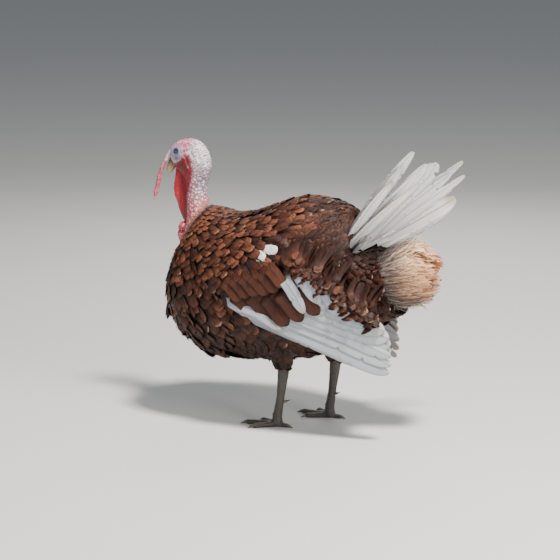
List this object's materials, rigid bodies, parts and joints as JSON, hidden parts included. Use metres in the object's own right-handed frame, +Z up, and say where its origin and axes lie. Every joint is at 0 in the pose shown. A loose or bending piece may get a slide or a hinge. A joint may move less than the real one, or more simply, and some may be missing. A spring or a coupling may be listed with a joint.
{
  "type": "domestic turkey",
  "caption": "Standing domestic turkey tom, bare head with long snood, feathered body, drooped wings and raised tail fan, as a still life-size model.",
  "frame": {"origin": "middle of the bounding box on the floor that the soles rest on", "axes": "the bird faces -Y, its left side is +X and +Z is up"},
  "size_m": [0.4114, 0.8733, 0.8121],
  "materials": {
    "brown_plumage": "glossy chestnut feathers with darker edges",
    "white_plumage": "white flight and tail feathers with tan worn tips",
    "tan_down": "soft tan covert feathers",
    "bare_skin": "wrinkled bare skin, red below, white and blue on the head",
    "horn": "smooth horn",
    "claw": "dark smooth horn",
    "leg_scale": "pink-grey horny scales",
    "beard_hair": "coarse black bristles",
    "eye": "wet dark brown eye"
  },
  "bodies": {
    "root": {"undertail_coverts": "tan_down", "rump": "brown_plumage", "trunk": "brown_plumage", "neck_base": "brown_plumage", "neck": "bare_skin", "head": "bare_skin", "eye_left": "eye", "eye_right": "eye", "snood": "bare_skin", "caruncles": "bare_skin", "dewlap": "bare_skin", "beak_upper": "horn", "beak_lower": "horn", "beard": "beard_hair", "thigh_left": "brown_plumage", "thigh_right": "brown_plumage", "shank_left": "leg_scale", "shank_right": "leg_scale", "foot_left": "leg_scale", "foot_right": "leg_scale", "claw_inner_left": "claw", "claw_middle_left": "claw", "claw_outer_left": "claw", "claw_hind_left": "claw", "claw_inner_right": "claw", "claw_middle_right": "claw", "claw_outer_right": "claw", "claw_hind_right": "claw", "spur_left": "claw", "spur_right": "claw", "wing_left": "brown_plumage", "wing_right": "brown_plumage", "primaries_left": "white_plumage", "primaries_right": "white_plumage", "secondaries_left": "white_plumage", "secondaries_right": "white_plumage", "tail_fan": "white_plumage"}
  },
  "joints": []
}
